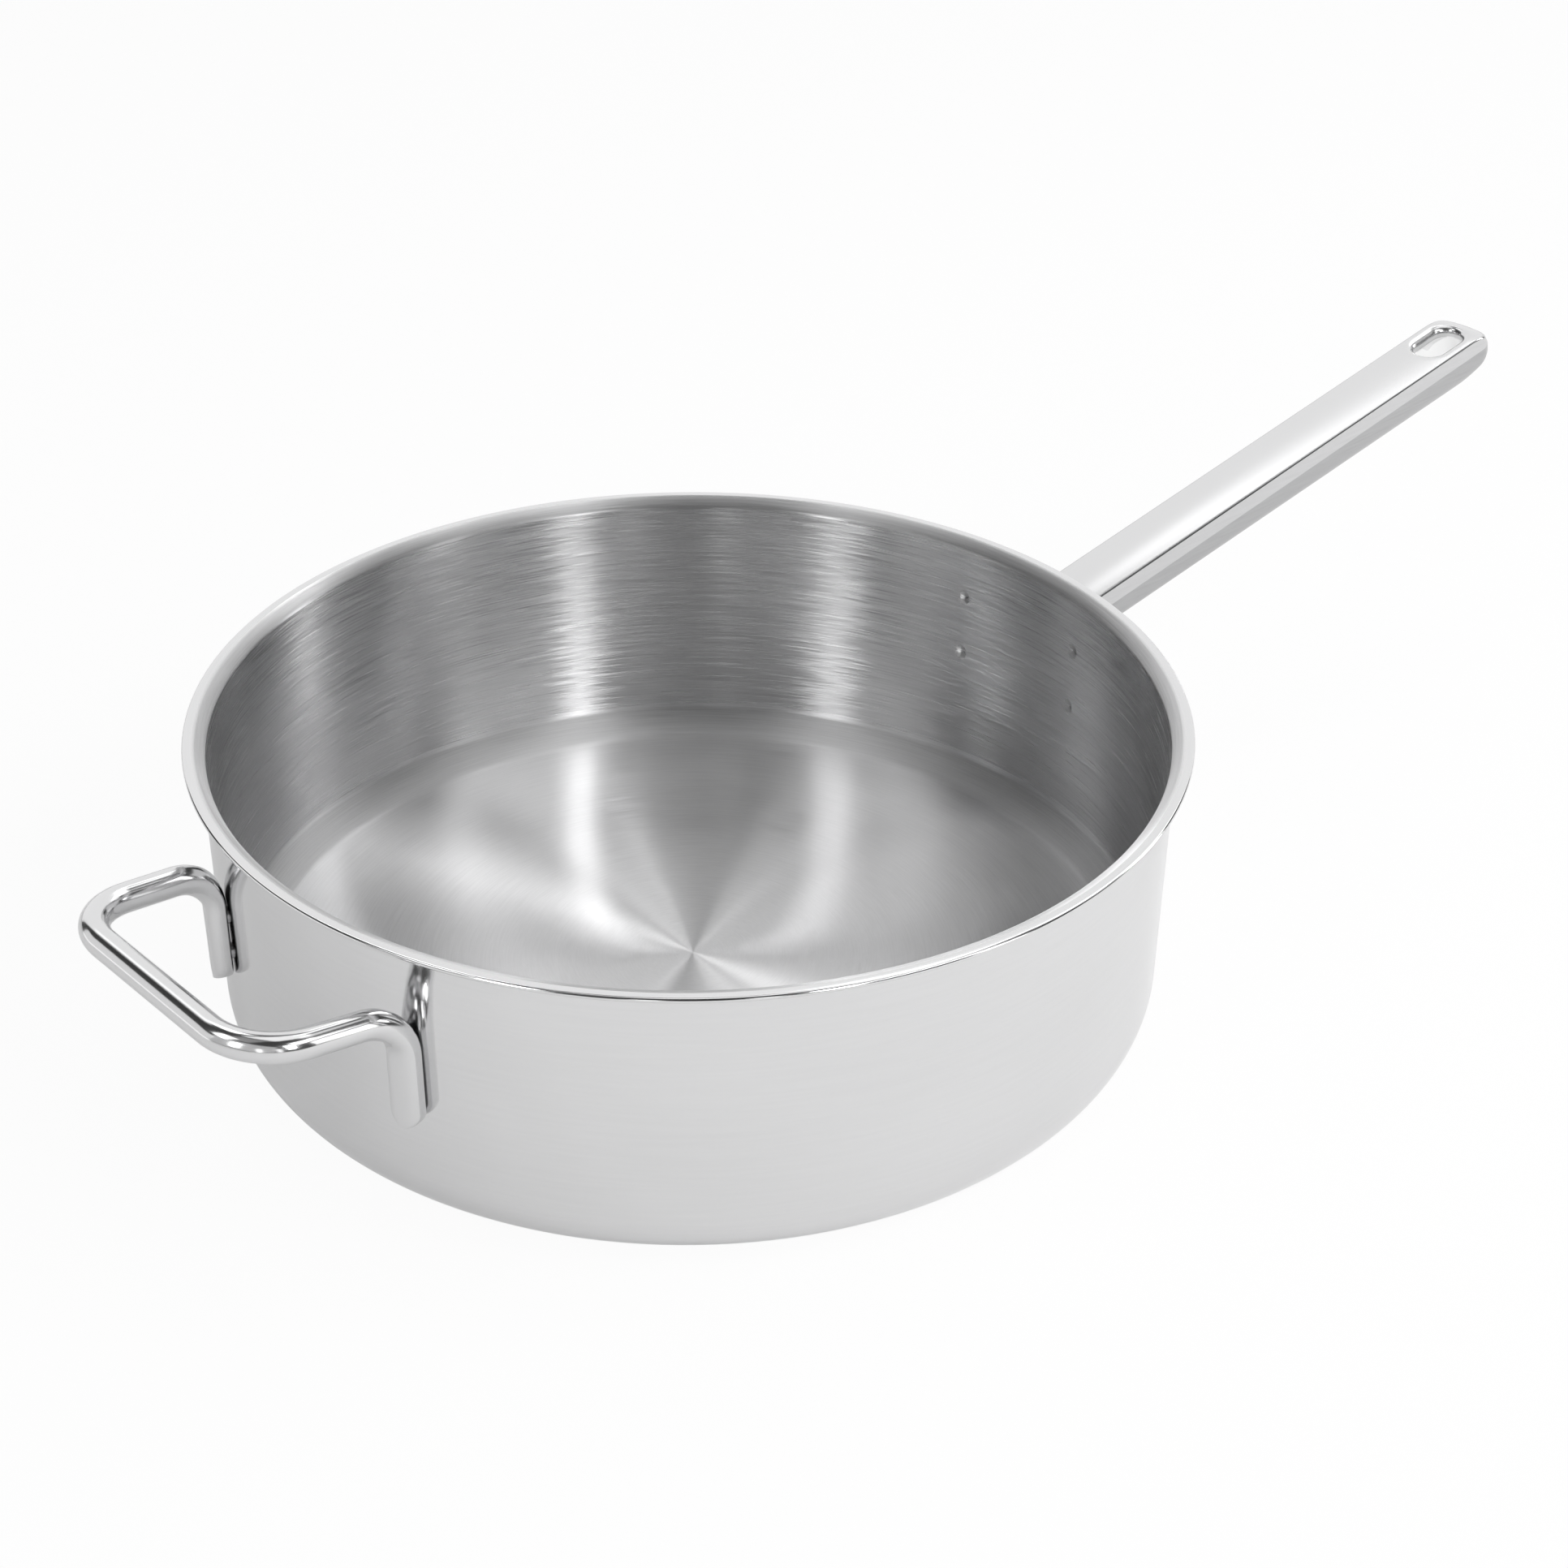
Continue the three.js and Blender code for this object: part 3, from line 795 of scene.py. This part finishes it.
def leaning_normal(nodes, along, across):
    """The normal, leaning a little along and across the brush lines, most of all on the wall."""
    height, _, outward = turned_parts(nodes)
    normal = nodes.normal()
    around = nodes.vector("CROSS_PRODUCT", (0, 0, 1), outward)
    over = nodes.vector("CROSS_PRODUCT", normal, around)
    on_wall = nodes.remap(height, LEAN_LOW, LEAN_HIGH, FLAT_LEAN, 1.0)
    lean = nodes.vector("ADD", nodes.scaled(around, along), nodes.scaled(over, across))
    return nodes.vector("NORMALIZE", nodes.vector("ADD", normal, nodes.scaled(lean, on_wall)))


def steel(name, colour, roughness, grain, coordinates, anisotropy=0.0, lean=None, corner=0.0):
    """Metal whose brush lines vary its colour and gloss.

    With a lean the lines also tilt the normal. With a corner the flat floor is less streaked than the
    wall, and the fillet between them is rougher by that much. The colour is also set by which way the
    surface faces: paler on the upward floor as painted light, darker on the wall as painted shade.
    """
    nodes = Nodes(name)
    shader = nodes.shader.inputs
    lines = nodes.noise(coordinates(nodes), 1.0, LINE_DETAIL)
    clouds = nodes.noise(nodes.place(), CLOUD_SCALE, CLOUD_DETAIL)["Fac"]
    swing = GLOSS_SWING * grain
    gloss = (roughness * (1 - swing), roughness * (1 + swing))
    gloss = nodes.remap(lines["Fac"], NOISE_LOW, NOISE_HIGH, *gloss)
    dip = nodes.remap(lines["Fac"], NOISE_LOW, NOISE_HIGH, 1.0, 0.0)
    tone = nodes.remap(clouds, NOISE_LOW, NOISE_HIGH, 1.0 - CLOUD_DIP * grain, 1.0)
    depth = grain
    if corner:
        rise = nodes.math("ABSOLUTE", nodes.parts(nodes.normal())[2])
        square = nodes.math("MULTIPLY", rise, rise)
        bend = nodes.math("MULTIPLY", square, nodes.math("SUBTRACT", 1.0, square))
        depth = nodes.remap(rise, 0.0, 1.0, grain, FLAT_GRAIN * grain)
        gloss = nodes.math("MULTIPLY", gloss, nodes.remap(rise, 0.0, 1.0, 1.0, FLAT_GLOSS))
        gloss = nodes.math("ADD", gloss, nodes.remap(bend, 0.0, BEND_FULL, 0.0, corner))
        # Painted light and shade: the upward floor's colour is made paler and the wall's darker by the
        # normal's rise
        tone = nodes.math("MULTIPLY", tone, nodes.remap(rise, 0.0, 1.0, WALL_PAINTED_SHADE, FLAT_PAINTED_LIGHT))
    streak = nodes.math("SUBTRACT", 1.0, nodes.math("MULTIPLY", dip, depth))
    tone = nodes.math("MULTIPLY", tone, streak)
    nodes.put(shader["Base Color"], nodes.scaled(colour, tone))
    nodes.put(shader["Roughness"], gloss)
    shader["Metallic"].default_value = 1.0
    if anisotropy:
        shader["Anisotropic"].default_value = anisotropy
        shader["Anisotropic Rotation"].default_value = BRUSH_TURN
        tangent = nodes.add("ShaderNodeTangent", direction_type="RADIAL", axis="Z").outputs[0]
        nodes.put(shader["Tangent"], tangent)
    if lean:
        parts = nodes.add("ShaderNodeSeparateColor", {0: lines["Color"]}).outputs
        along = nodes.remap(parts[1], 0.0, 1.0, -lean[0], lean[0])
        across = nodes.remap(parts[2], 0.0, 1.0, -lean[1], lean[1])
        nodes.put(shader["Normal"], leaning_normal(nodes, along, across))
    return nodes.material


brushed = steel(
    "brushed_inside", (0.77, 0.77, 0.775), 0.25, 0.20, fine_turned,
    anisotropy=1.0, lean=(0.08, 0.42), corner=0.3,
)
satin = steel("satin_outside", (0.76, 0.76, 0.765), 0.12, 0.02, soft_turned)
underside = steel("turned_underside", (0.60, 0.60, 0.605), 0.36, 0.12, fine_turned, anisotropy=0.6)
handle_steel = steel("handle_satin", (0.74, 0.74, 0.745), 0.22, 0.02, handle_bead)
# The handle's sides and keel have a real grain along the handle, and darker colours than its top as
# painted shade
side_painted_shade_steel = steel("handle_side_painted_shade", (0.65, 0.65, 0.655), 0.18, 0.06, handle_grain)
keel_painted_shade_steel = steel("keel_satin_painted_shade", (0.50, 0.50, 0.505), 0.22, 0.08, handle_grain)
polished = steel("polished_bar", (0.74, 0.74, 0.745), 0.15, 0.01, handle_grain)
# The slot's well is a smooth mirror with a near-white colour standing in for light seen through the
# slot: a painted reflection
polished_well_painted_light = steel("polished_well_painted_light", (0.92, 0.92, 0.92), 0.04, 0.01, handle_grain)
core_metal = steel("rolled_aluminium", (0.72, 0.73, 0.74), 0.45, 0.15, handle_grain)
weld_metal = steel("fused_weld", (0.60, 0.60, 0.61), 0.40, 0.20, handle_grain)

# The order of each row is the order of the piece's paint numbers
for piece, materials in (
    (vessel, (brushed, satin, underside)),
    (base_disc, (underside,)),
    (saddle, (satin,)),
    (handle_upper, (handle_steel, side_painted_shade_steel)),
    (handle_lower, (keel_painted_shade_steel, polished_well_painted_light)),
    (helper, (polished,)),
):
    for material in materials:
        piece.data.materials.append(material)
for name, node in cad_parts.items():
    if name == "base_core" or name.startswith("weld_"):
        node.data.materials.clear()
        node.data.materials.append(core_metal if name == "base_core" else weld_metal)


# Stage: a white floor that takes a faint shadow, a white backdrop, and soft boxes round the pan

VIEW_AZIMUTH = -130.0 * RAD
SHEET_WHITE = (0.9, 0.9, 0.9, 1.0)
SHEET_ROUGHNESS = 0.9
FLOOR_HALF = 30000.0
FLOOR_STEPS = 8
BACKDROP_DISTANCE, BACKDROP_FOOT, BACKDROP_HEIGHT = 2.2, 0.002, 2.8
BACKDROP_FROM, BACKDROP_TO = 130, 230
LAMP_DISTANCE = 1.8
AIM_HEIGHT = 0.05
WORLD_GREY = (0.05, 0.05, 0.05, 1.0)


def pale_sheet(name, rows, seen_by_camera, seen_in_metal, out_hint):
    """A pale sheet that shows plain white to the camera and in the metal by these shares.

    The rest of what they see of it is lit and shaded as usual.
    """
    nodes = Nodes(name)
    nodes.shader.inputs["Base Color"].default_value = SHEET_WHITE
    nodes.shader.inputs["Roughness"].default_value = SHEET_ROUGHNESS
    path = nodes.add("ShaderNodeLightPath").outputs
    direct = nodes.math("MAXIMUM", path["Is Camera Ray"], path["Is Transmission Ray"])
    direct = nodes.math("MULTIPLY", direct, seen_by_camera)
    mirrored = nodes.math("MULTIPLY", path["Is Glossy Ray"], seen_in_metal)
    seen = nodes.math("MAXIMUM", direct, mirrored)
    white = nodes.add("ShaderNodeEmission", {"Strength": 1.0}).outputs[0]
    shares = {0: seen, 1: nodes.shader.outputs[0], 2: white}
    both = nodes.add("ShaderNodeMixShader", shares).outputs[0]
    nodes.put(nodes.tree.nodes["Material Output"].inputs["Surface"], both)
    skin = Skin()
    skin.patch(rows)
    sheet = skin.make(name, out_hint=out_hint)
    sheet.data.materials.append(nodes.material)


def round_about(azimuth, elevation, distance):
    """A point round the pan, in metres: azimuth 0 is the camera's side, 90 its right, 180 the back."""
    a, e = VIEW_AZIMUTH + azimuth * RAD, elevation * RAD
    return Vector((math.cos(a) * math.cos(e), math.sin(a) * math.cos(e), math.sin(e))) * distance


def softbox(name, azimuth, elevation, width, height, watts, distance=LAMP_DISTANCE, seen_by="both"):
    """A soft rectangular light that faces the pan, seen by the metal, the floor or both."""
    place = round_about(azimuth, elevation, distance)
    data = bpy.data.lights.new(name, "AREA")
    data.shape = "RECTANGLE"
    data.size, data.size_y, data.energy = width, height, watts
    lamp = bpy.data.objects.new(name, data)
    lamp.location = place + Vector((0, 0, AIM_HEIGHT))
    lamp.rotation_mode = "QUATERNION"
    lamp.rotation_quaternion = (-place).to_track_quat("-Z", "Y")
    lamp.visible_camera = False
    lamp.visible_glossy = seen_by != "floor"
    lamp.visible_diffuse = seen_by != "metal"
    bpy.context.scene.collection.objects.link(lamp)


floor_line = spread(-FLOOR_HALF, FLOOR_HALF, FLOOR_STEPS)
floor_rows = [[(x, y, 0.0) for x in floor_line] for y in floor_line]
pale_sheet("floor", floor_rows, 0.94, 0.25, (0, 0, 10))

backdrop_foot = []
for azimuth in spread(BACKDROP_FROM, BACKDROP_TO, 24):
    backdrop_foot.append(round_about(azimuth, 0, BACKDROP_DISTANCE))
backdrop_rows = []
for level in spread(BACKDROP_FOOT, BACKDROP_HEIGHT, 6):
    backdrop_rows.append([(p.x / MM, p.y / MM, level / MM) for p in backdrop_foot])
pale_sheet("backdrop", backdrop_rows, 1.0, 1.0, (0, 0, 1000))

# Azimuth and elevation in degrees, width and height in metres, watts
softbox("back_left_box", 210, 58, 0.40, 0.51, 1.5)
softbox("back_right_box", 149, 59, 0.29, 0.44, 0.6)
softbox("back_panel", 157, 48, 0.72, 0.25, 0.6)
softbox("key_box", 135, 80, 1.00, 1.00, 3.5)
softbox("right_top_box", 98, 62, 0.61, 0.41, 0.6)
softbox("right_high_box", 126, 48, 0.68, 0.38, 1.5)
softbox("right_box", 57, 45, 0.86, 0.57, 3.7)
softbox("right_far_box", 99, 34, 0.47, 0.90, 0.7)
softbox("right_back_box", 129, 37, 0.56, 0.57, 1.2)
softbox("right_strip", 30, 27, 0.20, 0.83, 6.4)
softbox("right_fill", 64, 16, 0.36, 0.90, 2.3)
softbox("right_card", 108, 17, 0.24, 0.70, 4.8)
softbox("left_top_box", 315, 67, 0.75, 0.83, 0.5)
softbox("left_box", 293, 49, 0.54, 0.70, 2.6)
softbox("left_strip", 322, 25, 0.29, 0.83, 5.2)
softbox("left_high_card", 229, 45, 0.49, 0.44, 0.3)
softbox("front_right_card", 14, 12, 0.18, 0.67, 0.6)
softbox("front_left_card", 351, 12, 0.18, 0.67, 0.6)
softbox("floor_light", 80, 38, 0.80, 0.80, 10.5, seen_by="floor")
softbox("helper_card", 282, 11, 0.30, 0.16, 0.12, distance=0.41, seen_by="metal")
softbox("corner_card", 326, 14, 0.12, 0.06, 0.011, distance=0.244, seen_by="metal")

world = bpy.data.worlds.new("studio")
world.use_nodes = True
world.node_tree.nodes["Background"].inputs["Color"].default_value = WORLD_GREY
bpy.context.scene.world = world


# Camera, at the photograph's viewpoint

EYE = Vector((-481.83, -574.23, 521.21))
AHEAD = Vector((0.573664, 0.634536, -0.517952))
RIGHT = Vector((0.745544, -0.666391, 0.009350))
FOCAL_PIXELS, FRAME_PIXELS, SENSOR = 3612.16, 1932, 36.0

lens = bpy.data.cameras.new("camera")
lens.sensor_width = SENSOR
lens.lens = FOCAL_PIXELS / FRAME_PIXELS * SENSOR
lens.clip_start, lens.clip_end = 0.01, 50.0
camera = bpy.data.objects.new("camera", lens)
turn = Matrix((RIGHT, RIGHT.cross(AHEAD), -AHEAD)).transposed()
camera.matrix_world = Matrix.Translation(EYE * MM) @ turn.to_4x4()
bpy.context.scene.collection.objects.link(camera)
bpy.context.scene.camera = camera
bpy.context.scene.view_settings.view_transform = "Standard"
